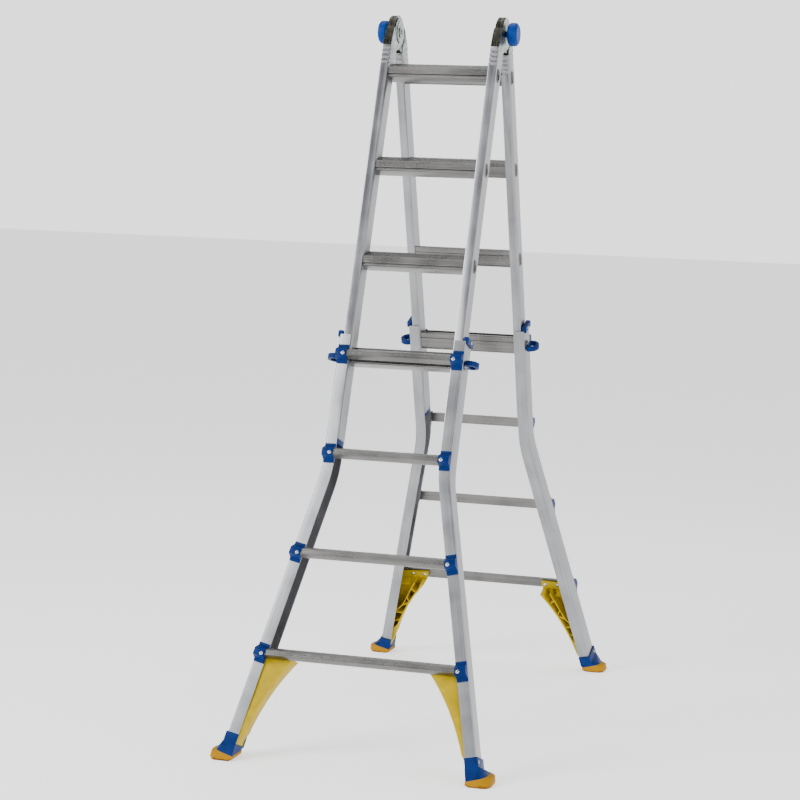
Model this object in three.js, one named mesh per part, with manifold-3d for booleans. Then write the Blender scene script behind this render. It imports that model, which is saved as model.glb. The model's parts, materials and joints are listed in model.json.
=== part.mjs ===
// Multi position ladder: two telescopic halves that stand as an A-frame on a pair of top hinges.
// Millimetres, +Z up, floor at z = 0, origin at the middle of the footprint.
//
// Both halves are the same assembly. A half is built in its own frame, with its origin on the
// hinge axis: x across the ladder, y ("out") away from the other half, at right angles to the
// stiles, and z ("up") along the stiles, so every piece lies below z = 0. The rear group tilts
// this frame by LEAN, and the front group is the same group turned half round.

import * as THREE from 'three';
import { mergeVertices } from 'three/addons/utils/BufferGeometryUtils.js';
import { ConvexGeometry } from 'three/addons/geometries/ConvexGeometry.js';
import Module from 'manifold-3d';

const wasm = await Module();
wasm.setup();

// ---- driving dimensions ----------------------------------------------------------------------

const LEAN = THREE.MathUtils.degToRad(19.5);      // lean of each half from the vertical
const FLARE = THREE.MathUtils.degToRad(12.5);     // outward splay of the lower legs
const PIVOT_HEIGHT = 1969;                        // hinge axis above the floor
const RUNG_PITCH = 280;
const RUNGS = 4;                                  // on each inner and each outer ladder
const FIRST_RUNG = 140;                           // hinge axis down to the top inner rung

const GAP = 0.3;                                  // air between neighbouring pieces

const INNER = { lateral: 170, width: 25, back: 8, depth: 60, wall: 2, top: 64, bottom: 1214 };
const CHANNEL = { lateral: 180, width: 32, back: 5, depth: 66, wall: 2.5, top: 920 };
const CRIMPS = { count: 4, first: 10, pitch: 14, thick: 8.5, end: 136 };   // on the inner stile's top
const BEND = { at: 1300, radius: 400, steps: 6 };

const OUTER_RUNG_RISE = 3;                        // outer rungs sit a little above the pin line
const HINGE = { x: 157.5, side: 12.3, webFrom: 48.6, armEnd: 150, bore: 11 };
const KNOB = { radius: 33, inner: 19, thickness: 29, chamfer: 7, stem: 8 };
const HANDLE = { base: 182, reach: 34, halfSpan: 27, thickness: 14, pin: 5.5, pinStart: 172.3 };
const COLLAR = { radius: 7.8, end: 186 };         // pressed round the lock pin's hole
const SOLE = { medial: 321, height: 13, rise: 0.27 };   // its top slopes up towards the outside
const BOOT = { collar: 755, medialWall: 782, wall: 3.4 };   // distances down the leg from the bend

// ---- derived places --------------------------------------------------------------------------

const innerFront = INNER.back + INNER.depth;
const innerMiddle = INNER.back + INNER.depth / 2;
const innerMedial = INNER.lateral - INNER.width;
const channelFront = CHANNEL.back + CHANNEL.depth;
const channelAxis = CHANNEL.lateral - CHANNEL.width / 2;
const channelHalf = CHANNEL.width / 2;
const lockLine = FIRST_RUNG + (RUNGS - 1) * RUNG_PITCH;   // where the lock pins stand

const innerRungDown = (k) => FIRST_RUNG + k * RUNG_PITCH;
const outerRungDown = (k) => lockLine - OUTER_RUNG_RISE + k * RUNG_PITCH;
const splay = (down) => Math.max(0, down - BEND.at) * Math.tan(FLARE);

// ---- materials -------------------------------------------------------------------------------

function finish(color, roughness, metalness) {
  return new THREE.MeshStandardMaterial({ color, roughness, metalness });
}

const aluminium = finish(0xb9bbbd, 0.42, 0.9);
const treadAluminium = finish(0xa9abab, 0.45, 0.9);
const bluePlastic = finish(0x0a3f8c, 0.45, 0);
const knobPlastic = finish(0x0a55b4, 0.4, 0);
const yellowPlastic = finish(0xd6b200, 0.5, 0);
const solePlastic = finish(0xcf9a08, 0.7, 0);
const zincSteel = finish(0xa5b1ac, 0.35, 0.95);

// ---- solids ----------------------------------------------------------------------------------

function solidFrom(geometry) {
  const bare = geometry.clone();
  bare.deleteAttribute('normal');
  bare.deleteAttribute('uv');
  const merged = mergeVertices(bare, 1e-4);
  return new wasm.Manifold(new wasm.Mesh({
    numProp: 3,
    vertProperties: new Float32Array(merged.attributes.position.array),
    triVerts: new Uint32Array(merged.index.array),
  }));
}

function geometryFrom(solid) {
  const mesh = solid.getMesh();
  const geometry = new THREE.BufferGeometry();
  geometry.setAttribute('position', new THREE.BufferAttribute(mesh.vertProperties, 3));
  geometry.setIndex(new THREE.BufferAttribute(mesh.triVerts, 1));
  geometry.computeVertexNormals();
  return geometry;
}

const joined = (solids) => solids.reduce((sum, solid) => sum.add(solid));
const shapeOf = (points) => new THREE.Shape(points.map(([a, b]) => new THREE.Vector2(a, b)));

// A shape in (x, out), drawn from `low` to `high` along the stile.
function alongStile(shape, low, high) {
  const geometry = new THREE.ExtrudeGeometry(shape, { depth: high - low, bevelEnabled: false });
  geometry.translate(0, 0, low);
  return solidFrom(geometry);
}

// A shape in (out, up), drawn from x = `from` to x = `to`.
function acrossLadder(shape, from, to) {
  const geometry = new THREE.ExtrudeGeometry(shape, { depth: to - from, bevelEnabled: false });
  geometry.applyMatrix4(new THREE.Matrix4().set(0, 0, 1, from, 1, 0, 0, 0, 0, 1, 0, 0, 0, 0, 0, 1));
  return solidFrom(geometry);
}

// A shape in (x, up), drawn from out = `from` to out = `to`.
function outward(shape, from, to) {
  const geometry = new THREE.ExtrudeGeometry(shape, { depth: to - from, bevelEnabled: false });
  geometry.applyMatrix4(new THREE.Matrix4().set(1, 0, 0, 0, 0, 0, -1, to, 0, 1, 0, 0, 0, 0, 0, 1));
  return solidFrom(geometry);
}

function box(x0, x1, out0, out1, up0, up1) {
  const geometry = new THREE.BoxGeometry(x1 - x0, out1 - out0, up1 - up0);
  geometry.translate((x0 + x1) / 2, (out0 + out1) / 2, (up0 + up1) / 2);
  return solidFrom(geometry);
}

function hullOf(points) {
  return solidFrom(new ConvexGeometry(points.map((p) => new THREE.Vector3(...p))));
}

// An oval in (out, up): a slot with round ends, taller than wide.
function ovalShape(out, up, width, height, steps = 6) {
  const radius = width / 2;
  const rise = height / 2 - radius;
  const points = [];
  for (const [side, start] of [[1, 0], [-1, Math.PI]]) {
    for (let i = 0; i <= steps; i += 1) {
      const angle = start + (i / steps) * Math.PI;
      points.push([out + radius * Math.cos(angle), up + side * rise + radius * Math.sin(angle)]);
    }
  }
  return shapeOf(points);
}

function circleShape(a, b, radius, steps = 24) {
  const points = [];
  for (let i = 0; i < steps; i += 1) {
    const angle = (i / steps) * 2 * Math.PI;
    points.push([a + radius * Math.cos(angle), b + radius * Math.sin(angle)]);
  }
  return shapeOf(points);
}

const rod = (out, up, radius, from, to, steps) => acrossLadder(
  circleShape(out, up, radius, steps), from, to);

// A point given level with the floor (x, distance out from the middle, height) in a half's frame.
function fromFloor(x, y, height) {
  const rise = height - PIVOT_HEIGHT;
  return [
    x,
    Math.cos(LEAN) * y + Math.sin(LEAN) * rise,
    -Math.sin(LEAN) * y + Math.cos(LEAN) * rise,
  ];
}

// Everything of a half that lies below the given height above the floor.
function belowHeight(height) {
  const points = [];
  for (const x of [-600, 600]) {
    for (const y of [200, 1100]) {
      for (const z of [-400, height]) points.push(fromFloor(x, y, z));
    }
  }
  return hullOf(points);
}

// ---- inner ladder ----------------------------------------------------------------------------

function innerStile() {
  const { lateral, width, back, depth, wall, top, bottom } = INNER;
  const round = 3;
  const section = new THREE.Shape();
  section.moveTo(lateral - width + round, back);
  section.lineTo(lateral - round, back);
  section.quadraticCurveTo(lateral, back, lateral, back + round);
  section.lineTo(lateral, back + depth - round);
  section.quadraticCurveTo(lateral, back + depth, lateral - round, back + depth);
  section.lineTo(lateral - width + round, back + depth);
  section.quadraticCurveTo(lateral - width, back + depth, lateral - width, back + depth - round);
  section.lineTo(lateral - width, back + round);
  section.quadraticCurveTo(lateral - width, back, lateral - width + round, back);
  const [boreMedial, boreLateral] = [lateral - width + wall, lateral - wall];
  const bore = box(boreMedial, boreLateral, back + wall, back + depth - wall, -bottom - 1, -CRIMPS.end);
  const topBore = box(boreMedial, boreLateral, back + CRIMPS.thick, back + depth - CRIMPS.thick,
    -CRIMPS.end - 1, -top + 1);
  const outline = new THREE.Shape(section.getPoints(2));
  let stile = alongStile(outline, -bottom, -top).subtract(bore).subtract(topBore);
  for (let k = 0; k < RUNGS; k += 1) {
    const hole = ovalShape(innerMiddle, -innerRungDown(k), TENON.width + 2 * GAP,
      TENON.height + 2 * GAP);
    stile = stile.subtract(acrossLadder(hole, lateral - width - 5, lateral + 5));
  }
  return stile.subtract(crimps());
}

// Grooves pressed across the front and back faces over the hinge arm, and round the corners.
function crimps() {
  const cuts = [];
  for (let i = 0; i < CRIMPS.count; i += 1) {
    const up = -INNER.top - CRIMPS.first - i * CRIMPS.pitch;
    for (const [face, inwards] of [[INNER.back, 1], [innerFront, -1]]) {
      const points = [[face - inwards, up - 5], [face - inwards, up + 5], [face + inwards * 1.5, up]];
      if (inwards < 0) points.reverse();
      cuts.push(acrossLadder(shapeOf(points), innerMedial - 5, INNER.lateral + 5));
      cuts.push(cornerNotch(innerMedial, 1, face, inwards, up - 4));
      cuts.push(cornerNotch(INNER.lateral, -1, face, inwards, up));
    }
  }
  return joined(cuts);
}

// A cut across one corner of the stile, deepest at the given height.
function cornerNotch(side, inside, face, inwards, up) {
  const points = [];
  for (const [rise, across, along] of [[-5.5, 0, 1], [-1.5, 4, 9], [1.5, 4, 9], [5.5, 0, 1]]) {
    points.push([side + inside * across, face - inwards, up + rise]);
    points.push([side + inside * across, face + inwards, up + rise]);
    points.push([side - inside * 0.5, face + inwards * along, up + rise]);
    points.push([side - inside, face - inwards, up + rise]);
  }
  return hullOf(points);
}

const TENON = { width: 24, height: 38, bore: [18, 31], rim: 3, rimDepth: 1.5 };

// Section of the inner rung about the middle of its tenon, in (out, up): a sloping tread on top,
// an upright front with a lip over a groove, and a flat bottom.
const RUNG_SECTION = [
  [-20, -19], [21, -18], [25, -14], [25, -12.5], [22.5, -12], [22.5, -9.5], [26, -9], [26, 11],
  [-21, 38], [-26, 36], [-27, 24], [-24.5, 23.5], [-24.5, 20], [-27, 19.5], [-27, -9]];
const RUNG_HOLLOW = [[-18, -16.5], [19, -15.5], [20, -9], [23.5, 9.5], [-20, 35], [-22.5, 20], [-24.5, -8]];

function innerRung(k) {
  const up = -innerRungDown(k);
  const placed = (points) => shapeOf(points.map(([a, b]) => [innerMiddle + a, up + b]));
  const end = innerMedial - GAP;
  const body = acrossLadder(placed(RUNG_SECTION), -end, end);
  const hollow = acrossLadder(placed(RUNG_HOLLOW), -end + 4, end - 4);
  const reach = INNER.lateral + GAP + TENON.rimDepth;
  const tenon = acrossLadder(ovalShape(innerMiddle, up, TENON.width, TENON.height), -reach, reach);
  const rimShape = ovalShape(
    innerMiddle, up, TENON.width + 2 * TENON.rim, TENON.height + 2 * TENON.rim);
  const rims = [
    acrossLadder(rimShape, INNER.lateral + GAP, reach),
    acrossLadder(rimShape, -reach, -INNER.lateral - GAP)];
  const bore = acrossLadder(ovalShape(innerMiddle, up, ...TENON.bore), -reach - 1, reach + 1);
  return joined([body, tenon, ...rims]).subtract(hollow).subtract(bore);
}

// ---- outer ladder ----------------------------------------------------------------------------

// The line at `offset` from the channel's axis, from the top of the outer stile to its foot.
function legLine(offset, end) {
  const tangent = BEND.radius * Math.tan(FLARE / 2);
  const start = -(BEND.at - tangent);
  const line = [[channelAxis + offset, -CHANNEL.top]];
  for (let i = 0; i <= BEND.steps; i += 1) {
    const angle = (i / BEND.steps) * FLARE;
    line.push([
      channelAxis + BEND.radius * (1 - Math.cos(angle)) + offset * Math.cos(angle),
      start - BEND.radius * Math.sin(angle) + offset * Math.sin(angle)]);
  }
  line.push(legPoint(end, offset));
  return line;
}

// A point on the flared leg: distance down its axis from the bend, and offset to the side.
function legPoint(distance, offset) {
  return [
    channelAxis + distance * Math.sin(FLARE) + offset * Math.cos(FLARE),
    -BEND.at - distance * Math.cos(FLARE) + offset * Math.sin(FLARE)];
}

function legBand(medialOffset, lateralOffset, end = 900) {
  return shapeOf([...legLine(medialOffset, end), ...legLine(lateralOffset, end).reverse()]);
}

function outerStile() {
  const { back, wall } = CHANNEL;
  const flange = legBand(-channelHalf, channelHalf);
  const web = legBand(channelHalf - wall, channelHalf);
  const channel = joined([
    outward(flange, back, back + wall),
    outward(flange, channelFront - wall, channelFront),
    outward(web, back, channelFront)]);
  const collar = rod(innerMiddle, -lockLine, COLLAR.radius, CHANNEL.lateral - wall, COLLAR.end, 20);
  const pinHole = rod(innerMiddle, -lockLine, HANDLE.pin + GAP, CHANNEL.lateral - 5,
    COLLAR.end + 1, 20);
  return channel.add(collar).subtract(pinHole).subtract(belowHeight(26));
}

// Section of the outer rung in (out from the flange, up): sloping tread, blunt front, flat back.
const OUTER_SECTION = [[0.6, -14.5], [6, -14.5], [24, -7], [22, 7], [19, 8.3], [0.6, 15.5]];
const OUTER_HOLLOW = [[2.2, -12.7], [5.8, -12.7], [22, -5.8], [20.3, 5.8], [2.2, 12.8]];

function sectionAt(points, up) {
  return shapeOf(points.map(([a, b]) => [channelFront + a, up + b]));
}

// An anticlockwise outline moved outwards by `by` on every edge.
function grown(points, by) {
  const count = points.length;
  const normal = (i) => {
    const [a, b] = [points[i % count], points[(i + 1) % count]];
    const length = Math.hypot(b[0] - a[0], b[1] - a[1]);
    return [(b[1] - a[1]) / length, (a[0] - b[0]) / length];
  };
  return points.map(([a, b], i) => {
    const [before, after] = [normal(i + count - 1), normal(i)];
    const scale = by / (1 + before[0] * after[0] + before[1] * after[1]);
    return [a + scale * (before[0] + after[0]), b + scale * (before[1] + after[1])];
  });
}

// How far the outer rung reaches into its bracket.
const rungReach = (k) => channelAxis + splay(outerRungDown(k)) + 8;

function outerRung(k) {
  const up = -outerRungDown(k);
  const reach = rungReach(k);
  const body = acrossLadder(sectionAt(OUTER_SECTION, up), -reach, reach);
  return body.subtract(acrossLadder(sectionAt(OUTER_HOLLOW, up), -reach - 1, reach + 1));
}

// Side view of the bracket: a tab on the flange above and below a block that caps the rung end.
const BRACKET_PROFILE = [
  [0.3, -27], [3.4, -27], [3.4, -20], [7, -18], [27, -9.5], [27.5, -7], [26.5, 6], [24.5, 9.5],
  [4.5, 19], [3.4, 20.5], [3.4, 27], [0.3, 27]];

function bracket(k) {
  const down = outerRungDown(k);
  const turn = down > BEND.at ? FLARE : 0;
  const block = new THREE.ExtrudeGeometry(shapeOf(BRACKET_PROFILE), { depth: 31, bevelEnabled: false });
  block.applyMatrix4(new THREE.Matrix4().set(0, 0, 1, -16, 1, 0, 0, 0, 0, 1, 0, 0, 0, 0, 0, 1));
  block.rotateY(-turn);
  block.translate(channelAxis + splay(down), channelFront, -down);
  const pocket = acrossLadder(sectionAt(grown(OUTER_SECTION, GAP), -down), 0, rungReach(k) + GAP);
  return solidFrom(block).subtract(pocket);
}

// Moulded gusset, open towards the other half: a plate behind the bottom rung, a wall along its free
// edge, and a second wall inside it tied by cross ribs. Its foot fills the mouth of the leg.
function gusset() {
  const top = -(outerRungDown(RUNGS - 1) - 11);
  const back = 14;
  const front = channelFront - CHANNEL.wall - GAP;
  const plate = 5.5;
  const tab = 22;
  const inLeg = -channelHalf + 14;
  const flush = -channelHalf - 0.5;
  const distance = (up) => (-up - BEND.at) / Math.cos(FLARE);
  const end = BOOT.medialWall - GAP;
  const freeEdge = new THREE.QuadraticBezierCurve(
    new THREE.Vector2(190, top - 22), new THREE.Vector2(263, top - 108),
    new THREE.Vector2(302, top - 226));
  const edge = freeEdge.getPoints(10).map((p) => [p.x, p.y]);
  const outline = [legPoint(distance(top) + 3, inLeg), [186, top], ...edge,
    legPoint(distance(top - 240), flush), legPoint(end, flush), legPoint(end, inLeg)];
  const pocket = [legPoint(distance(top - tab), inLeg - 5), [203, top - tab],
    ...edge.slice(1, 9).map(([x, up]) => [x + 4, up + 2]),
    legPoint(distance(top - 196), flush + 4), legPoint(distance(top - 196), inLeg - 5)];
  const tabRoom = box(180, 330, back - 1, front - plate - 3, top - tab - 0.8, top + 5);
  const ribs = gussetRibs(top, back, front - 3, edge, distance, inLeg)
    .intersect(outward(shapeOf(outline), back, front - 1));
  return outward(shapeOf(outline), back, front)
    .subtract(outward(shapeOf(pocket), back - 1, front - plate))
    .subtract(tabRoom)
    .subtract(gussetSlope(top, front, distance))
    .add(ribs);
}

// The front face falls away from a crease towards the leg.
function gussetSlope(top, front, distance) {
  const crease = [[216, top + 1], legPoint(distance(top - 190), -channelHalf)];
  const beside = [legPoint(distance(top) - 4, 4), legPoint(distance(top - 190), 4)];
  const points = crease.map(([x, up]) => [x, front, up]);
  for (const [x, up] of beside) points.push([x, front - 3, up]);
  for (const [x, up] of [...crease, ...beside]) points.push([x, front + 1, up]);
  return hullOf(points);
}

function gussetRibs(top, back, front, edge, distance, inLeg) {
  const thick = 3.2;
  const strip = ([x0, up0], [x1, up1]) => {
    const length = Math.hypot(x1 - x0, up1 - up0);
    const across = [(up0 - up1) * thick / length / 2, (x1 - x0) * thick / length / 2];
    return outward(shapeOf([
      [x0 - across[0], up0 - across[1]], [x1 - across[0], up1 - across[1]],
      [x1 + across[0], up1 + across[1]], [x0 + across[0], up0 + across[1]]]), back + 4, front);
  };
  const innerWall = [[222, top - 20], [236, top - 44], [252, top - 76], [268, top - 106],
    legPoint(distance(top - 132), -channelHalf + 6)];
  const ribs = [];
  for (let i = 1; i < innerWall.length; i += 1) ribs.push(strip(innerWall[i - 1], innerWall[i]));
  ribs.push(strip(innerWall[1], edge[2]), strip(innerWall[2], edge[4]), strip(innerWall[3], edge[4]));
  ribs.push(strip(innerWall[4], edge[6]));
  ribs.push(strip(legPoint(distance(top - 168), -channelHalf + 6), edge[7]));
  return joined(ribs);
}

// ---- feet ------------------------------------------------------------------------------------

// The boot is straight down the outside of the leg and then flares out; the sole bulges further.
function foot() {
  const { collar, medialWall, wall } = BOOT;
  const outBack = CHANNEL.back - wall;
  const outFront = channelFront + wall;
  const reachBack = (height) => (outBack - Math.sin(LEAN) * (height - PIVOT_HEIGHT)) / Math.cos(LEAN);
  const reachFront = (height) => (outFront - Math.sin(LEAN) * (height - PIVOT_HEIGHT)) / Math.cos(LEAN);
  const shin = [];
  const flare = [];
  for (const out of [outBack, outFront]) {
    const side = (distance, offset) => {
      const [x, up] = legPoint(distance, offset);
      return [x, out, up];
    };
    shin.push(side(collar, channelHalf + wall), side(collar, -channelHalf - 1));
    shin.push(side(medialWall + 5, channelHalf + wall), side(medialWall + 4, -channelHalf - 1));
    flare.push(side(medialWall - 1, channelHalf + wall), side(medialWall - 1, -channelHalf - 1.8));
  }
  flare.push(...footRing(reachBack, reachFront, SOLE.medial + 1, 375, soleTop, 0.4));
  return hullOf(shin).add(hullOf(flare)).subtract(legSocket(medialWall))
    .add(sole(reachBack, reachFront));
}

// Height of the joint between boot and sole.
const soleTop = (x) => SOLE.height + SOLE.rise * (x - SOLE.medial);

// Outline of the foot at a height that may depend on x: square on the inside, bulged outside.
function footRing(reachBack, reachFront, medial, lateral, heightAt, inset) {
  const points = [];
  const put = (x, across) => {
    const height = heightAt(x);
    const middle = (reachBack(height) + reachFront(height)) / 2;
    const half = (reachFront(height) - reachBack(height)) / 2 - inset;
    points.push(fromFloor(x, middle - half * across, height));
    points.push(fromFloor(x, middle + half * across, height));
  };
  put(medial, 1);
  for (const [along, across] of [[0.7, 1], [0.88, 0.85], [0.97, 0.6], [1, 0.28]]) {
    put(medial + (lateral - medial) * along, across);
  }
  return points;
}

// Room for the leg, open upwards, and open to the middle above the medial wall.
function legSocket(medialWall) {
  const band = (medial, lateral, from, to) => outward(shapeOf([
    legPoint(from, medial), legPoint(to, medial), legPoint(to, lateral), legPoint(from, lateral)]),
  CHANNEL.back - GAP, channelFront + GAP);
  const socket = band(-channelHalf - GAP, channelHalf + GAP, 700, 900);
  const mouth = band(-channelHalf - 20, channelHalf + GAP, 700, medialWall);
  return socket.add(mouth).subtract(belowHeight(25));
}

function sole(reachBack, reachFront) {
  const ring = (...rest) => footRing(reachBack, reachFront, ...rest);
  return hullOf([
    ...ring(SOLE.medial, 377, soleTop, 0),
    ...ring(SOLE.medial, 388, (x) => soleTop(x) - 8, 0),
    ...ring(SOLE.medial + 1, 391, () => 7, 0.3),
    ...ring(SOLE.medial + 11, 386, () => 0, 1.5)]);
}

// ---- lock handles ----------------------------------------------------------------------------

function lockHandle() {
  const { base, reach, halfSpan, thickness, pin, pinStart } = HANDLE;
  const arc = (x0, a, b, steps) => {
    const points = [];
    for (let i = 0; i <= steps; i += 1) {
      const angle = -Math.PI / 2 + (i / steps) * Math.PI;
      points.push([x0 + a * Math.cos(angle), innerMiddle + b * Math.sin(angle)]);
    }
    return points;
  };
  const low = -lockLine - thickness / 2;
  const high = -lockLine + thickness / 2;
  const outline = [...arc(base + 8, reach - 8, halfSpan, 14),
    [base, innerMiddle + halfSpan - 3], [base, innerMiddle - halfSpan + 3]];
  const ring = alongStile(shapeOf(outline), low, high);
  const fingerGap = alongStile(shapeOf(arc(base + 8, reach - 17, halfSpan - 9, 10)), low - 1, high + 1);
  const collarRoom = rod(innerMiddle, -lockLine, COLLAR.radius + GAP, base - 1, COLLAR.end + GAP, 20);
  return ring.subtract(fingerGap).subtract(collarRoom)
    .add(rod(innerMiddle, -lockLine, pin, pinStart, COLLAR.end + 1, 20));
}

// ---- hinges ----------------------------------------------------------------------------------

// Side view of a leaf's plate: the round head around the axis, running down to the stile's top.
function leafShape(radius) {
  const points = [];
  const steps = 26;
  for (let i = 0; i <= steps; i += 1) {
    const angle = THREE.MathUtils.degToRad(-14 + (i / steps) * 235);
    points.push([radius * Math.cos(angle), radius * Math.sin(angle)]);
  }
  points.push([13, -INNER.top + 1], [63, -INNER.top + 1]);
  return shapeOf(points);
}

// Side view of the solid that ties the plates together below the head, clear of the other leaf.
function webShape() {
  const points = [[13, -INNER.top + 1], [66, -INNER.top + 1], [63, -42], [58.5, -20], [51.5, -2.7]];
  const steps = 10;
  for (let i = 0; i <= steps; i += 1) {
    const angle = THREE.MathUtils.degToRad(-3 - (i / steps) * 65);
    points.push([HINGE.webFrom * Math.cos(angle), HINGE.webFrom * Math.sin(angle)]);
  }
  return shapeOf(points);
}

// A leaf made of the given plates, each [from, to, radius] across the ladder from its middle.
function leaf(plates) {
  const heads = plates.map(([from, to, radius]) => acrossLadder(
    leafShape(radius), HINGE.x + from, HINGE.x + to));
  const web = acrossLadder(webShape(), HINGE.x - HINGE.side, HINGE.x + HINGE.side);
  const slots = [-8, -0.5, 7].map((from) => box(
    HINGE.x + from - 1, HINGE.x + from + 2, 61, 70, -INNER.top + 3, -INNER.top + 17));
  return joined([...heads, web.subtract(joined(slots)), hingeArm()]);
}

function hingeArm() {
  const side = INNER.width / 2 - INNER.wall - GAP;
  const [back, front] = [INNER.back + CRIMPS.thick + GAP, innerFront - CRIMPS.thick - GAP];
  const arm = box(HINGE.x - side, HINGE.x + side, back, front, -HINGE.armEnd, -INNER.top + 2);
  return arm.subtract(box(HINGE.x - side + 3, HINGE.x + side - 3, back + 2, front - 2,
    -HINGE.armEnd - 1, -INNER.top - 10));
}

const hingeBore = () => rod(0, 0, HINGE.bore + GAP, HINGE.x - 30, HINGE.x + 30);

// The arm stops short of the top rung's tenon, which crosses the inside of the stile.
const tenonRoom = () => acrossLadder(
  ovalShape(innerMiddle, -FIRST_RUNG, TENON.width + 4, TENON.height + 4), HINGE.x - 30, HINGE.x + 30);

function frontLeaf() {
  const boss = rod(0, 0, 31, HINGE.x - HINGE.side - 2, HINGE.x - HINGE.side + 1, 28);
  return leaf([[-HINGE.side, -9.2, 42], [-1.8, 2.6, 46], [8.2, HINGE.side, 46]])
    .add(boss).subtract(hingeBore()).subtract(tenonRoom());
}

function rearLeaf() {
  return leaf([[-8.8, -2.2, 48], [3, 7.8, 48]]).subtract(hingeBore()).subtract(tenonRoom());
}

function hingeBush() {
  const end = HINGE.x - HINGE.side;
  const flange = rod(0, 0, 15, end - 4.6, end - 2.6);
  const tube = rod(0, 0, HINGE.bore, end - 3, HINGE.x + HINGE.side);
  return flange.add(tube).subtract(rod(0, 0, KNOB.stem + GAP, HINGE.x - 40, HINGE.x + 40));
}

// Turned about the hinge axis: a chamfered knob on a stem that runs through the bush.
function pushKnob() {
  const { radius, inner, thickness, chamfer, stem } = KNOB;
  const profile = [
    [0, -8], [stem - 1, -8], [stem, -7], [stem, inner], [radius - chamfer, inner],
    [radius, inner + chamfer], [radius, inner + thickness - chamfer],
    [radius - chamfer, inner + thickness - 1.5], [12, inner + thickness], [0, inner + thickness]];
  const knob = new THREE.LatheGeometry(profile.map(([r, y]) => new THREE.Vector2(r, y)), 32);
  knob.rotateZ(-Math.PI / 2);
  knob.translate(HINGE.x, 0, 0);
  return solidFrom(knob);
}

// ---- assembly --------------------------------------------------------------------------------

function mirrored(geometry) {
  const copy = geometry.clone();
  copy.scale(-1, 1, 1);
  const index = copy.index.array;
  for (let i = 0; i < index.length; i += 3) [index[i], index[i + 1]] = [index[i + 1], index[i]];
  copy.computeVertexNormals();
  return copy;
}

function addMesh(group, name, geometry, material) {
  const mesh = new THREE.Mesh(geometry, material.clone());
  mesh.name = name;
  group.add(mesh);
}

// One piece made for the +x side of a half, and its mirror image on the other side.
function addPair(group, half, name, solid, material) {
  const geometry = geometryFrom(solid);
  const [plus, minus] = half === 'front' ? ['left', 'right'] : ['right', 'left'];
  addMesh(group, `${half}_${plus}_${name}`, geometry, material);
  addMesh(group, `${half}_${minus}_${name}`, mirrored(geometry), material);
}

function buildHalf(half) {
  const group = new THREE.Group();
  addPair(group, half, 'inner_stile', innerStile(), aluminium);
  addPair(group, half, 'outer_stile', outerStile(), aluminium);
  addPair(group, half, 'gusset', gusset(), yellowPlastic);
  addPair(group, half, 'foot', foot(), bluePlastic);
  addPair(group, half, 'lock_handle', lockHandle(), bluePlastic);
  for (let k = 0; k < RUNGS; k += 1) {
    addMesh(group, `${half}_inner_rung_${k + 1}`, geometryFrom(innerRung(k)), treadAluminium);
    addMesh(group, `${half}_outer_rung_${k + 1}`, geometryFrom(outerRung(k)), treadAluminium);
    addPair(group, half, `bracket_${k + 1}`, bracket(k), bluePlastic);
  }
  return group;
}

const front = buildHalf('front');
const rear = buildHalf('rear');
addPair(front, 'front', 'hinge_leaf', frontLeaf(), zincSteel);
addPair(rear, 'rear', 'hinge_leaf', rearLeaf(), zincSteel);
addPair(front, 'front', 'hinge_bush', hingeBush(), zincSteel);
addPair(front, 'front', 'hinge_knob', pushKnob(), knobPlastic);

rear.rotation.x = LEAN;
front.rotation.set(LEAN, 0, Math.PI, 'ZYX');
for (const half of [front, rear]) half.position.z = PIVOT_HEIGHT;

const ladder = new THREE.Group();
ladder.add(front, rear);

export default ladder;
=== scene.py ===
"""Looks of the multi position ladder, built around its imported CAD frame.

Each half is drawn in its own frame, as in the CAD: origin on the hinge axis, x across the ladder,
y out from the other half, z up along the stiles. Sizes are in millimetres until a mesh is made.
"""

import json
import math

import bmesh
import bpy
from mathutils import Matrix, Vector

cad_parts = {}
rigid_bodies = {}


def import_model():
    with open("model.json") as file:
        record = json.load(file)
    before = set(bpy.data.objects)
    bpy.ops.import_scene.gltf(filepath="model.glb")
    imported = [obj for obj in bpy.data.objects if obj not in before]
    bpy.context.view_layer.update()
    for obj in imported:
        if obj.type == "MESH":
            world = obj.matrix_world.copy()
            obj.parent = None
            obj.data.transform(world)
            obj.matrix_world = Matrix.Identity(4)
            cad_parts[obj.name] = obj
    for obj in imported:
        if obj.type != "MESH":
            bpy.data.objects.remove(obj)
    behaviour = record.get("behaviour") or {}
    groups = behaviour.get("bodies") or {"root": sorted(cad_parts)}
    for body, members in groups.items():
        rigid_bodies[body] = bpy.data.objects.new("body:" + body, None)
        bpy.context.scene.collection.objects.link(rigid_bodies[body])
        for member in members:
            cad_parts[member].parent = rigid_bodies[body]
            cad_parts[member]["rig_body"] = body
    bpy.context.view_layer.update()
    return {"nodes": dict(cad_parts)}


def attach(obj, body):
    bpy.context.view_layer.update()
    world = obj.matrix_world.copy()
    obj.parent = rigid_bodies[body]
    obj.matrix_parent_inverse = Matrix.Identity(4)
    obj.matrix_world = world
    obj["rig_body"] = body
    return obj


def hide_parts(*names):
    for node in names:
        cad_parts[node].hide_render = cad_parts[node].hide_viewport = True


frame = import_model()

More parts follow.
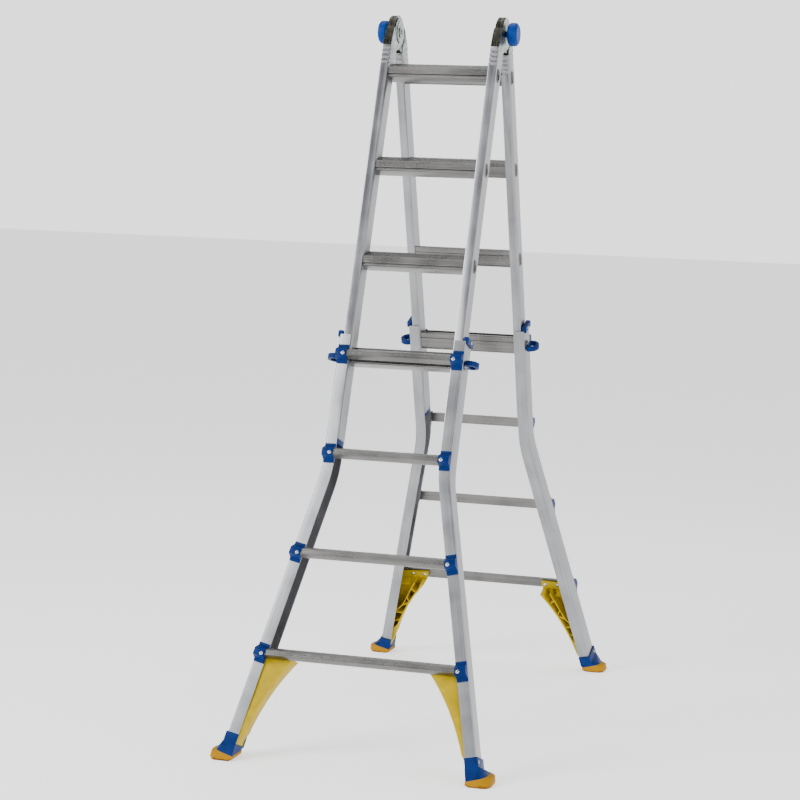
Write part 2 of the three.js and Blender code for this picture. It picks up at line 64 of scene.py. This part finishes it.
MM = 0.001
LEAN = math.radians(19.5)
FLARE = math.radians(12.5)
PIVOT_HEIGHT = 1969
RUNG_PITCH = 280
FIRST_RUNG = 140
LOCK_LINE = FIRST_RUNG + 3 * RUNG_PITCH
RUNGS = (1, 2, 3, 4)
BEND_AT = 1300                # how far below the hinge the legs flare out
BEND_RADIUS = 400
LEG_LENGTH = 788              # from the bend to inside the boot
OUTER_TOP = 920               # how far below the hinge the outer stile's top end is
CHANNEL_AXIS = 164            # the outer stile's section, across and out
CHANNEL_LATERAL = 180
CHANNEL_FRONT = 71
INNER_TIP = 1214.2            # how far below the hinge the inner stile ends
INNER_MIDDLE = 38
INNER_MEDIAL = 145
HINGE_X = 157.5
GUSSET_BOLTS = (199, 238)
BOLT_LINE = 1816
SOLE_MEDIAL, SOLE_HEIGHT, SOLE_RISE = 321, 13, 0.27      # the joint between boot and sole
WELD = 0.02 * MM              # joins the doubled corners of a CAD mesh
FLAT = math.radians(0.6)      # merges its triangles into flat faces
PLASTIC_SPECULAR = 0.09
HALVES = ("front", "rear")
NODES = frame["nodes"]
SIDES = {"front": {1: "left", -1: "right"}, "rear": {1: "right", -1: "left"}}

CAMERA_PLACE = (1.7979, -6.6060, 1.6557)
CAMERA_YAW, CAMERA_PITCH, CAMERA_ROLL = 0.2811, -0.108, 0.0323
CAMERA_LENS = 106.861


def half_matrix(half):
    """From a half's own frame to the row frame, both in metres."""
    turn = Matrix.Rotation(math.pi if half == "front" else 0, 4, "Z")
    return Matrix.Translation((0, 0, PIVOT_HEIGHT * MM)) @ turn @ Matrix.Rotation(LEAN, 4, "X")


def inner_rung_down(k):
    return FIRST_RUNG + (k - 1) * RUNG_PITCH


def outer_rung_down(k):
    return LOCK_LINE - 3 + (k - 1) * RUNG_PITCH


def splay(down):
    """How far out the flared leg's axis is at that distance below the hinge."""
    return max(0, down - BEND_AT) * math.tan(FLARE)


# ---- materials -------------------------------------------------------------------------------

def new_material(name, color, roughness, metallic):
    material = bpy.data.materials.new(name)
    material.use_nodes = True
    shader = material.node_tree.nodes["Principled BSDF"]
    shader.inputs["Base Color"].default_value = (*color, 1)
    shader.inputs["Roughness"].default_value = roughness
    shader.inputs["Metallic"].default_value = metallic
    return material, shader


def add_node(material, kind, **settings):
    node = material.node_tree.nodes.new(kind)
    for key, value in settings.items():
        if key in node.inputs:
            node.inputs[key].default_value = value
        else:
            setattr(node, key, value)
    return node


def link(material, a, output, b, socket):
    material.node_tree.links.new(a.outputs[output], b.inputs[socket])


def noise(material, scale, detail=3, coordinate="Object"):
    """Noise with its own scale along each axis; a low scale along one axis draws lines."""
    place = add_node(material, "ShaderNodeTexCoord")
    mapping = add_node(material, "ShaderNodeMapping", Scale=scale)
    link(material, place, coordinate, mapping, "Vector")
    texture = add_node(material, "ShaderNodeTexNoise", Scale=1, Detail=detail)
    link(material, mapping, "Vector", texture, "Vector")
    return texture


def ramp(material, source, stops, output="Fac"):
    """A colour ramp through two or more stops, each (place, color)."""
    node = add_node(material, "ShaderNodeValToRGB")
    elements = node.color_ramp.elements
    for place, color in stops[1:-1]:
        elements.new(place)
    for element, (place, color) in zip(elements, stops):
        element.position = place
        element.color = (*color, 1)
    link(material, source, output, node, "Fac")
    return node


def value_range(material, source, low, high):
    """Spreads the middle of a noise's range from low to high."""
    node = add_node(material, "ShaderNodeMapRange")
    node.inputs["From Min"].default_value = 0.3
    node.inputs["From Max"].default_value = 0.7
    node.inputs["To Min"].default_value = low
    node.inputs["To Max"].default_value = high
    link(material, source, "Fac", node, "Value")
    return node


def add_bump(material, shader, layers):
    """Bump layers, each (texture, depth in metres, strength)."""
    previous = None
    for texture, distance, strength in layers:
        bump = add_node(material, "ShaderNodeBump", Strength=strength, Distance=distance)
        link(material, texture, "Fac", bump, "Height")
        if previous:
            link(material, previous, "Normal", bump, "Normal")
        previous = bump
    link(material, previous, "Normal", shader, "Normal")


def drawn_metal(name, dark, light, roughness, lines, coordinate="Object"):
    """Extruded aluminium: fine lines along the bar, broad cloudiness and a few scuffs."""
    material, shader = new_material(name, light, roughness, 0.92)
    streaks = noise(material, lines, 4, coordinate)
    clouds = noise(material, (9, 9, 9), 5, coordinate)
    mix = add_node(material, "ShaderNodeMix", data_type="FLOAT")
    mix.inputs[0].default_value = 0.55
    link(material, streaks, "Fac", mix, 2)
    link(material, clouds, "Fac", mix, 3)
    colors = ramp(material, mix, [(0.36, dark), (0.64, light)], 0)
    link(material, colors, "Color", shader, "Base Color")
    link(material, value_range(material, clouds, roughness - 0.06, roughness + 0.08), "Result",
         shader, "Roughness")
    pits = noise(material, (420, 420, 420), 2, coordinate)
    add_bump(material, shader, [(streaks, 0.00012, 0.35), (pits, 0.00005, 0.2)])
    return material


def moulded_plastic(name, dark, light, roughness, grain=1300):
    """Moulded plastic: fine grain, faint flow marks and uneven gloss."""
    material, shader = new_material(name, light, roughness, 0)
    shader.inputs["Specular IOR Level"].default_value = PLASTIC_SPECULAR
    flow = noise(material, (28, 28, 40), 5)
    colors = ramp(material, flow, [(0.3, dark), (0.68, light)])
    link(material, colors, "Color", shader, "Base Color")
    link(material, value_range(material, flow, roughness - 0.07, roughness + 0.07), "Result",
         shader, "Roughness")
    fine = noise(material, (grain, grain, grain), 2)
    add_bump(material, shader, [(fine, 0.00012, 0.28), (flow, 0.0004, 0.12)])
    return material


def sole_darker_at_bottom(name):
    """The sole's plastic: ochre, turning darker brown and mottled towards the bottom."""
    material, shader = new_material(name, (0.42, 0.18, 0.0), 0.6, 0)
    shader.inputs["Specular IOR Level"].default_value = PLASTIC_SPECULAR
    place = add_node(material, "ShaderNodeTexCoord")
    split = add_node(material, "ShaderNodeSeparateXYZ")
    link(material, place, "Object", split, "Vector")
    mottle = noise(material, (60, 60, 200), 5)
    height = add_node(material, "ShaderNodeMath", operation="MULTIPLY_ADD")
    link(material, split, "Z", height, 0)
    height.inputs[1].default_value = 55
    link(material, mottle, "Fac", height, 2)
    # darker brown towards the bottom of the sole, with a mottled border
    stops = [(0.45, (0.08, 0.032, 0.006)), (0.68, (0.20, 0.085, 0.001)), (0.8846, (0.34, 0.165, 0.0))]
    colors = ramp(material, height, stops, 0)
    link(material, colors, "Color", shader, "Base Color")
    fine = noise(material, (900, 900, 900), 2)
    add_bump(material, shader, [(fine, 0.0002, 0.4), (mottle, 0.0005, 0.3)])
    return material


def plated_steel(name, dark, light, roughness):
    """Zinc plate: a cool sheen with cloudy, slightly green and yellow patches."""
    material, shader = new_material(name, light, roughness, 1)
    cloud = noise(material, (70, 70, 70), 5)
    colors = ramp(material, cloud, [(0.34, dark), (0.62, light)])
    link(material, colors, "Color", shader, "Base Color")
    link(material, value_range(material, cloud, roughness + 0.08, roughness - 0.06), "Result",
         shader, "Roughness")
    grit = noise(material, (700, 700, 700), 3)
    add_bump(material, shader, [(grit, 0.00008, 0.3), (cloud, 0.0004, 0.15)])
    return material


ALONG_STILE = (520, 520, 3)
ALONG_CHANNEL = (520, 3, 1)
ALONG_RUNG = (3, 620, 620)
STILE_COLORS = (0.20, 0.205, 0.215), (0.33, 0.335, 0.35)
STILE = drawn_metal("stile_aluminium", *STILE_COLORS, 0.33, ALONG_STILE)
CHANNEL = drawn_metal("channel_aluminium", *STILE_COLORS, 0.33, ALONG_CHANNEL, "UV")
TREAD = drawn_metal("tread_aluminium", (0.10, 0.098, 0.095), (0.20, 0.197, 0.19), 0.27, ALONG_RUNG)
BLUE = moulded_plastic("blue_plastic", (0.0004, 0.013, 0.085), (0.0006, 0.020, 0.125), 0.42)
KNOB = moulded_plastic("knob_plastic", (0.0003, 0.026, 0.17), (0.0005, 0.036, 0.225), 0.38)
YELLOW = moulded_plastic("yellow_plastic", (0.36, 0.245, 0.0), (0.46, 0.325, 0.0), 0.48)
SOLE = sole_darker_at_bottom("sole_plastic")
ZINC = plated_steel("zinc_plate", (0.13, 0.16, 0.15), (0.34, 0.40, 0.375), 0.30)
OLIVE = plated_steel("olive_plate_edge", (0.022, 0.022, 0.017), (0.06, 0.058, 0.046), 0.48)
SCREW = plated_steel("bright_screw", (0.36, 0.36, 0.35), (0.66, 0.66, 0.65), 0.22)
BRASS = plated_steel("brass_recess", (0.18, 0.09, 0.03), (0.45, 0.25, 0.09), 0.4)


# ---- mesh helpers ----------------------------------------------------------------------------

def finish_mesh(mesh, smooth_angle):
    mesh.shade_smooth()
    mesh.set_sharp_from_angle(angle=math.radians(smooth_angle))


def make_object(name, mesh, material, half, body, replaced=()):
    """Adds the piece in its half's frame, or in the row frame if half is None, riding its body."""
    mesh.materials.clear()
    mesh.materials.append(material)
    obj = bpy.data.objects.new(name, mesh)
    bpy.context.scene.collection.objects.link(obj)
    if half:
        obj.matrix_world = half_matrix(half)
    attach(obj, body)
    if replaced:
        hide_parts(*replaced)
    return obj


def sided_piece(name, bm, sign, material, half, body, replaced=(), smooth_angle=35):
    """Adds a piece that is drawn on the side of positive x, mirrored if sign is negative."""
    if sign < 0:
        mirror(bm)
    return make_object(name, mesh_from(bm, smooth_angle), material, half, body, replaced)


def round_edges(obj, width, segments=2, angle=28):
    bevel = obj.modifiers.new("rounded_edges", "BEVEL")
    bevel.width = width * MM
    bevel.segments = segments
    bevel.limit_method = "ANGLE"
    bevel.angle_limit = math.radians(angle)
    bevel.harden_normals = True
    return obj


def mesh_from(bm, smooth_angle=35):
    bmesh.ops.recalc_face_normals(bm, faces=bm.faces)
    mesh = bpy.data.meshes.new("mesh")
    bm.to_mesh(mesh)
    bm.free()
    finish_mesh(mesh, smooth_angle)
    return mesh


def loft(bm, rings, closed_ends=True):
    """Joins rings of equally many points, in millimetres. UV holds metres round and along."""
    uv = bm.loops.layers.uv.verify()
    rows = [[bm.verts.new(Vector(p) * MM) for p in ring] for ring in rings]
    count = len(rings[0])
    along = [0.0]
    for a, b in zip(rows, rows[1:]):
        along.append(along[-1] + (a[0].co - b[0].co).length)
    around = [0.0]
    for i in range(count):
        around.append(around[-1] + (rows[0][i].co - rows[0][(i + 1) % count].co).length)
    for r in range(len(rows) - 1):
        for i in range(count):
            j = (i + 1) % count
            face = bm.faces.new((rows[r][i], rows[r][j], rows[r + 1][j], rows[r + 1][i]))
            places = [(around[i], along[r]), (around[i + 1], along[r]),
                      (around[i + 1], along[r + 1]), (around[i], along[r + 1])]
            for corner, place in zip(face.loops, places):
                corner[uv].uv = place
    if closed_ends:
        for row in (rows[0], rows[-1]):
            face = bm.faces.new(row)
            for corner in face.loops:
                corner[uv].uv = (corner.vert.co.x, corner.vert.co.y)
    return bm


def mirror(bm):
    for vert in bm.verts:
        vert.co.x = -vert.co.x
    bmesh.ops.reverse_faces(bm, faces=bm.faces)


def lathe(bm, profile, centre, axis="X", steps=32):
    """Turns (radius, along) about an axis through centre; a radius of 0 closes the end."""
    rings = []
    for radius, along in profile:
        ring = []
        for i in range(steps):
            angle = 2 * math.pi * i / steps
            a, b = radius * math.cos(angle), radius * math.sin(angle)
            offset = {"X": (along, a, b), "Y": (a, along, b), "Z": (a, b, along)}[axis]
            ring.append(tuple(c + o for c, o in zip(centre, offset)))
        rings.append(ring)
    return loft(bm, rings)


def adopt(node, material, bevel=0.0, segments=2, smooth=35, world=False, angle=28):
    """A CAD node redrawn in its half's frame, with its flat faces merged and edges rounded."""
    source = NODES[node]
    half = None if world else node.split("_")[0]
    mesh = source.data.copy()
    if half:
        mesh.transform(half_matrix(half).inverted())
    bm = bmesh.new()
    bm.from_mesh(mesh)
    bmesh.ops.remove_doubles(bm, verts=bm.verts, dist=WELD)
    bmesh.ops.dissolve_limit(bm, angle_limit=FLAT, verts=bm.verts, edges=bm.edges)
    bm.to_mesh(mesh)
    bm.free()
    finish_mesh(mesh, 180 if bevel else smooth)
    obj = make_object(node + "_piece", mesh, material, half, source["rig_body"], [node])
    if bevel:
        round_edges(obj, bevel, segments, angle)
    return obj


# ---- ladder pieces ---------------------------------------------------------------------------

def rounded(points, radius, steps=3):
    """A closed outline with each corner rounded, as far as its edges allow."""
    result = []
    count = len(points)
    for i, corner in enumerate(points):
        here = Vector(corner)
        before, after = Vector(points[i - 1]), Vector(points[(i + 1) % count])
        reach = min(radius, (before - here).length * 0.45, (after - here).length * 0.45)
        start = here + (before - here).normalized() * reach
        end = here + (after - here).normalized() * reach
        for step in range(steps + 1):
            t = step / steps
            result.append(tuple((1 - t) ** 2 * start + 2 * t * (1 - t) * here + t * t * end))
    return result


def leg_stations():
    """Places down the outer stile: (x, z, turn), from its top to inside the boot."""
    tangent = BEND_RADIUS * math.tan(FLARE / 2)
    stations = [(CHANNEL_AXIS, -OUTER_TOP, 0), (CHANNEL_AXIS, -OUTER_TOP - 2, 0)]
    steps = 14
    for i in range(steps + 1):
        turn = FLARE * i / steps
        stations.append((CHANNEL_AXIS + BEND_RADIUS * (1 - math.cos(turn)),
                         -(BEND_AT - tangent) - BEND_RADIUS * math.sin(turn), turn))
    for distance in (300, 600, LEG_LENGTH):
        stations.append((CHANNEL_AXIS + distance * math.sin(FLARE),
                         -BEND_AT - distance * math.cos(FLARE), FLARE))
    return stations


def channel_section():
    """C-section as (across from the axis, out), with rounded corners and open towards the middle."""
    outer = rounded([(-16, 5), (16, 5), (16, 71), (-16, 71)], 5, 5)
    lateral = [p for p in outer if p[0] > -10]
    inner = rounded([(-16, 7.5), (13.5, 7.5), (13.5, 68.5), (-16, 68.5)], 2.6, 4)
    inside = [p for p in inner if p[0] > -10]
    return [(-16, 5)] + lateral + [(-16, 71), (-16, 68.5)] + inside[::-1] + [(-16, 7.5)]


def outer_stile(half, sign):
    name = f"{half}_{SIDES[half][sign]}_outer_stile"
    section = channel_section()
    rings = []
    for x, z, turn in leg_stations():
        rings.append([(x + a * math.cos(turn), out, z + a * math.sin(turn)) for a, out in section])
    bm = loft(bmesh.new(), rings)
    sided_piece(name + "_piece", bm, sign, CHANNEL, half, half + "_outer_ladder",
                [name])


def rung_bar(half, node, section, reach, body, round_by):
    """A rung of that section from -reach to reach, in place of its CAD node."""
    outline = rounded(section, round_by, 2)
    rings = [[(x, out, up) for out, up in outline] for x in (-reach, reach)]
    bm = loft(bmesh.new(), rings)
    make_object(node + "_piece", mesh_from(bm, 28), TREAD, half, body, [node])


def ribbed(start, end, count, height):
    """Points from start to end with small ridges standing to the right of the way."""
    a, b = Vector(start), Vector(end)
    step = (b - a) / count
    side = Vector((step.y, -step.x)).normalized() * height
    points = []
    for i in range(count):
        base = a + step * i
        points += [base + step * 0.06, base + step * 0.22 + side, base + step * 0.62 + side,
                   base + step * 0.8]
    return [tuple(p) for p in points]


def inner_rung_section(up):
    """Tread with fine ribs, a lip above a groove on the front, and a shallow groove in the back."""
    points = [(-20, -19), (21, -18), (24.6, -15), (24.6, -13.6), (19.5, -13.2), (19.5, -9.4),
              (25.9, -9), (25.9, -6.2)]
    points += ribbed((25.0, -5.6), (25.0, 9.5), 4, 0.9)
    points += [(26, 10.4), (25.4, 11.2)]
    points += ribbed((23.8, 11.4), (-19.5, 36.3), 14, 0.8)
    points += [(-21.5, 37.9), (-25.6, 36), (-27, 24), (-24.5, 23.5), (-24.5, 20), (-27, 19.5),
               (-27, -9)]
    return [(INNER_MIDDLE + a, up + b) for a, b in points]


def inner_rung(half, k):
    up = -inner_rung_down(k)
    rung_bar(half, f"{half}_inner_rung_{k}", inner_rung_section(up), INNER_MEDIAL - 0.3,
             half + "_inner_ladder", 0.35)
    for sign in (1, -1):
        flared_end(half, sign, k, up)


def oval(out, up, width, height, x, steps=9):
    """A ring with straight sides and round ends, centred at (out, up)."""
    radius = width / 2
    rise = height / 2 - radius
    ring = []
    for side, start in ((1, 0), (-1, math.pi)):
        for i in range(steps + 1):
            angle = start + math.pi * i / steps
            across, along = radius * math.cos(angle), radius * math.sin(angle)
            ring.append((x, out + across, up + side * rise + along))
    return ring


def flared_end(half, sign, k, up):
    """The rung's end: a hollow oval tube through the stile, rolled over on the lateral face."""
    profile = [(144, 24, 38), (170.2, 24, 38), (170.3, 26.4, 40.4), (170.9, 27, 41),
               (171.6, 26.2, 40.2), (171.8, 24, 38), (171.3, 21.4, 35.2), (169.5, 19.6, 33),
               (165, 19, 32.2), (144.2, 19, 32.2)]
    rings = [oval(INNER_MIDDLE, up, w, h, x) for x, w, h in profile]
    sided_piece(f"{half}_{SIDES[half][sign]}_rung_end_{k}", loft(bmesh.new(), rings), sign, TREAD,
                half, half + "_inner_ladder", smooth_angle=40)


def outer_rung(half, k):
    up = -outer_rung_down(k)
    points = [(0.6, -14.5), (6, -14.5), (23.6, -7.2), (24, -6.4)]
    points += ribbed((23.4, -5.2), (21.6, 6.2), 4, 0.45)
    points += [(22, 7), (20.6, 7.8)]
    points += ribbed((19.4, 7.6), (3.0, 14.0), 5, 0.5)
    points += [(0.6, 15.5)]
    section = [(CHANNEL_FRONT + a, up + b) for a, b in points]
    reach = CHANNEL_AXIS + splay(outer_rung_down(k)) + 8
    rung_bar(half, f"{half}_outer_rung_{k}", section, reach, half + "_outer_ladder", 0.3)


def bracket_matrix(k):
    """From the bracket's own frame (x across, y out from the flange, z up) to its half's frame."""
    down = outer_rung_down(k)
    turn = FLARE if down > BEND_AT else 0
    place = Matrix.Translation(Vector((CHANNEL_AXIS + splay(down), CHANNEL_FRONT, -down)) * MM)
    return place @ Matrix.Rotation(-turn, 4, "Y")


def bracket(half, sign, k):
    side = SIDES[half][sign]
    name = f"{half}_{side}_bracket_{k}"
    adopt(name, BLUE, 1.1, 3)
    place_screw(f"{name}_screw", half, sign, bracket_matrix(k), (-7, 27.0, -2.5), 5.0,
                half + "_outer_ladder", "Y")


def screw_mesh(radius, centre, axis):
    """A domed screw head, as (radius, along) about the axis."""
    head = [(0, 1.9), (radius * 0.55, 1.75), (radius * 0.86, 1.1), (radius, 0.35), (radius, -0.4),
            (0, -0.4)]
    return lathe(bmesh.new(), head, centre, axis, 24)


def cross_mesh(radius, centre, axis):
    """A cross recess, drawn as two crossed bars that stand a hair above the head."""
    bm = bmesh.new()
    arm, width = radius * 0.62, radius * 0.17
    for along, across in ((arm, width), (width, arm)):
        rings = []
        for lift in (0.6, 2.02):
            corners = [(-along, -across), (along, -across), (along, across), (-along, across)]
            ring = []
            for a, b in corners:
                offset = {"X": (lift, a, b), "Y": (a, lift, b)}[axis]
                ring.append(tuple(c + o for c, o in zip(centre, offset)))
            rings.append(ring)
        loft(bm, rings)
    bmesh.ops.rotate(bm, verts=bm.verts, cent=Vector(centre) * MM,
                     matrix=Matrix.Rotation(math.radians(38), 3, axis))
    return bm


def place_screw(name, half, sign, matrix, centre, radius, body, axis):
    for part, make, material in (("", screw_mesh, SCREW), ("_recess", cross_mesh, BRASS)):
        bm = make(radius, centre, axis)
        bmesh.ops.transform(bm, matrix=matrix, verts=bm.verts)
        sided_piece(name + part, bm, sign, material, half, body, smooth_angle=30)


def guide(half, sign):
    """The moulded guide clipped over the outer stile's top, with its rivet."""
    name = f"{half}_{SIDES[half][sign]}_stile_guide"
    body = half + "_outer_ladder"
    corners = [(-7.5, 0.4), (0.3, 0.4), (0.3, -7), (4.6, -7), (6.2, -4.5), (6.2, 9.5), (4.6, 12),
               (-7.5, 12)]
    rings = [[(CHANNEL_LATERAL + x, out, z - OUTER_TOP) for x, z in corners] for out in (9, 69)]
    obj = sided_piece(name, loft(bmesh.new(), rings), sign, BLUE, half, body,
                      smooth_angle=180)
    round_edges(obj, 1.6, 3)
    head = [(0, 1.6), (2.4, 1.4), (3.6, 0.6), (3.8, -0.2), (0, -0.2)]
    rivet = lathe(bmesh.new(), head, (CHANNEL_LATERAL + 6.2, 32, 3 - OUTER_TOP), "X", 20)
    sided_piece(name + "_rivet", rivet, sign, SCREW, half, body)


def end_cap(half, sign):
    """The blue plug in the inner stile's bottom end."""
    outline = rounded([(146, 9), (169, 9), (169, 67), (146, 67)], 3, 3)
    small = rounded([(147.5, 10.5), (167.5, 10.5), (167.5, 65.5), (147.5, 65.5)], 3, 3)
    rings = [[(x, out, z) for x, out in shape]
             for z, shape in ((-INNER_TIP, outline), (-1222, outline), (-1226, small))]
    sided_piece(f"{half}_{SIDES[half][sign]}_end_cap", loft(bmesh.new(), rings), sign, BLUE, half,
                half + "_inner_ladder")


def pin_collar(half, sign):
    """The pressed collar round the lock pin's hole, part of the outer stile."""
    profile = [(5.8, -2), (5.8, 6), (7.3, 6), (7.8, 5.4), (7.8, 0.6), (9.2, -0.1), (9.2, -2)]
    bm = lathe(bmesh.new(), profile, (CHANNEL_LATERAL, INNER_MIDDLE, -LOCK_LINE), "X", 28)
    sided_piece(f"{half}_{SIDES[half][sign]}_pin_collar", bm, sign, SCREW, half,
                half + "_outer_ladder")


def gusset(half, sign):
    """The moulded gusset and the two bolts that hold its tab to the back of the bottom rung."""
    name = f"{half}_{SIDES[half][sign]}_gusset"
    adopt(name, YELLOW, 0.9, 2)
    head = [(0, -2.6), (3.2, -2.4), (5.2, -1.2), (5.6, 0.4), (0, 0.4)]
    for i, x in enumerate(GUSSET_BOLTS):
        bolt = lathe(bmesh.new(), head, (x, 59.7, -BOLT_LINE), "Y", 20)
        sided_piece(f"{name}_bolt_{i + 1}", bolt, sign, SCREW, half, half + "_outer_ladder")


def lock_handle(half, sign):
    adopt(f"{half}_{SIDES[half][sign]}_lock_handle", BLUE, 2.2, 3, angle=40)


def cut_foot(node, outside, keep_above):
    """The part of the CAD foot above or below the sloping joint between boot and sole."""
    bm = bmesh.new()
    bm.from_mesh(NODES[node].data)
    bmesh.ops.remove_doubles(bm, verts=bm.verts, dist=WELD)
    cut = bmesh.ops.bisect_plane(
        bm, geom=bm.verts[:] + bm.edges[:] + bm.faces[:],
        plane_co=(outside * SOLE_MEDIAL * MM, 0, (SOLE_HEIGHT + 0.1) * MM),
        plane_no=Vector((-outside * SOLE_RISE, 0, 1)).normalized(),
        clear_inner=keep_above, clear_outer=not keep_above)
    edges = [e for e in cut["geom_cut"] if isinstance(e, bmesh.types.BMEdge)]
    bmesh.ops.holes_fill(bm, edges=edges, sides=0)
    bmesh.ops.dissolve_limit(bm, angle_limit=FLAT, verts=bm.verts, edges=bm.edges)
    return mesh_from(bm, 180)


def foot(half, sign):
    """Splits the CAD foot into its boot and its sole, and puts the boot's screw on its outside."""
    node = f"{half}_{SIDES[half][sign]}_foot"
    body = half + "_outer_ladder"
    outside = sign if half == "rear" else -sign
    boot = make_object(node + "_boot", cut_foot(node, outside, True), BLUE, None, body,
                       [node])
    sole = make_object(node + "_sole", cut_foot(node, outside, False), SOLE, None, body)
    for obj in (boot, sole):
        round_edges(obj, 1.4, 3)
    bend = Matrix.Translation(Vector((CHANNEL_AXIS, 0, -BEND_AT)) * MM)
    on_leg = bend @ Matrix.Rotation(-FLARE, 4, "Y")
    place_screw(node + "_screw", half, sign, on_leg, (19.2, 60, 20 - LEG_LENGTH), 4.6, body, "X")


def hinge(half, sign):
    """The leaf, with olive plating on the cut edges of its plates."""
    name = f"{half}_{SIDES[half][sign]}_hinge_leaf"
    obj = adopt(name, ZINC, smooth=32, world=True)
    obj.data.materials.append(OLIVE)
    for face in obj.data.polygons:
        if abs(face.normal.x) < 0.5:
            face.material_index = 1


def knob(sign):
    """Push knob: chamfered disc with a dished cap, on its stem, as (radius, along) from the hinge."""
    side = SIDES["front"][sign]
    profile = [(0, -8), (7, -8), (8, -7), (8, 19), (24, 19), (27, 19.4), (31.6, 23.4), (32.7, 25.2),
               (33, 27.4), (33, 38.4), (32.7, 40.6), (31.6, 42.6), (27.5, 46.2), (25.6, 47.1),
               (23.5, 47.5), (21, 47.6), (19.5, 47.2), (18, 47), (0, 47.6)]
    bm = lathe(bmesh.new(), profile, (HINGE_X, 0, 0), "X", 56)
    sided_piece(f"{side}_knob_piece", bm, sign, KNOB, "front", side + "_knob",
                [f"front_{side}_hinge_knob"], 30)


def inner_stile(half, sign):
    adopt(f"{half}_{SIDES[half][sign]}_inner_stile", STILE, smooth=28)


def hinge_bush(sign):
    adopt(f"front_{SIDES['front'][sign]}_hinge_bush", ZINC, 0.3, 2)


def build_ladder():
    for half in HALVES:
        for sign in (1, -1):
            for make in (inner_stile, gusset, outer_stile, guide, end_cap, pin_collar, lock_handle,
                         foot, hinge):
                make(half, sign)
            for k in RUNGS:
                bracket(half, sign, k)
        for k in RUNGS:
            inner_rung(half, k)
            outer_rung(half, k)
    for sign in (1, -1):
        knob(sign)
        hinge_bush(sign)


# ---- floor, light and camera -----------------------------------------------------------------

def make_floor():
    """A wide pale floor with a faint glow of its own, so that it stays near white."""
    bm = bmesh.new()
    bmesh.ops.create_grid(bm, x_segments=1, y_segments=1, size=30)
    mesh = bpy.data.meshes.new("floor")
    bm.to_mesh(mesh)
    bm.free()
    material, shader = new_material("floor", (0.92, 0.92, 0.92), 0.7, 0)
    shader.inputs["Emission Color"].default_value = (1, 1, 1, 1)
    shader.inputs["Emission Strength"].default_value = 0.9
    mesh.materials.append(material)
    floor = bpy.data.objects.new("floor", mesh)
    bpy.context.scene.collection.objects.link(floor)


def area_light(name, place, size, power, color=(1, 1, 1)):
    data = bpy.data.lights.new(name, "AREA")
    data.shape = "RECTANGLE"
    data.size, data.size_y = size
    data.energy = power
    data.color = color
    light = bpy.data.objects.new(name, data)
    light.location = place
    aim = Vector((0, 0, 1.0)) - Vector(place)
    light.rotation_mode = "QUATERNION"
    light.rotation_quaternion = aim.to_track_quat("-Z", "Y")
    bpy.context.scene.collection.objects.link(light)


def make_world():
    """Bright round the horizon and dim overhead, so that the metal has something to show."""
    world = bpy.data.worlds.new("studio")
    bpy.context.scene.world = world
    world.use_nodes = True
    nodes, links = world.node_tree.nodes, world.node_tree.links
    place = nodes.new("ShaderNodeTexCoord")
    split = nodes.new("ShaderNodeSeparateXYZ")
    links.new(place.outputs["Generated"], split.inputs["Vector"])
    shade = nodes.new("ShaderNodeValToRGB")
    first, last = shade.color_ramp.elements
    first.position, first.color = 0.22, (1, 1, 1, 1)
    last.position, last.color = 0.68, (0.12, 0.125, 0.14, 1)
    links.new(split.outputs["Z"], shade.inputs["Fac"])
    background = nodes["Background"]
    links.new(shade.outputs["Color"], background.inputs["Color"])
    background.inputs["Strength"].default_value = 2.0


def make_lights():
    area_light("key", (-3.2, -3.6, 3.6), (2.2, 2.6), 230)
    area_light("fill", (4.2, -2.6, 2.2), (2.4, 2.4), 60, (1, 0.97, 0.93))
    area_light("top", (0, 0.6, 4.6), (3, 3), 90)


def make_camera():
    """The camera, with its turn built from yaw, pitch and roll."""
    data = bpy.data.cameras.new("camera")
    data.sensor_width = 36
    data.lens = CAMERA_LENS
    data.clip_end = 100
    camera = bpy.data.objects.new("camera", data)
    forward = Vector((-math.sin(CAMERA_YAW) * math.cos(CAMERA_PITCH),
                      math.cos(CAMERA_YAW) * math.cos(CAMERA_PITCH), math.sin(CAMERA_PITCH)))
    right = forward.cross(Vector((0, 0, 1))).normalized()
    up = right.cross(forward)
    tilted_right = math.cos(CAMERA_ROLL) * right + math.sin(CAMERA_ROLL) * up
    tilted_up = math.cos(CAMERA_ROLL) * up - math.sin(CAMERA_ROLL) * right
    turn = Matrix((tilted_right, tilted_up, -forward)).transposed().to_4x4()
    camera.matrix_world = Matrix.Translation(CAMERA_PLACE) @ turn
    bpy.context.scene.collection.objects.link(camera)
    bpy.context.scene.camera = camera


build_ladder()
make_floor()
make_world()
make_lights()
make_camera()
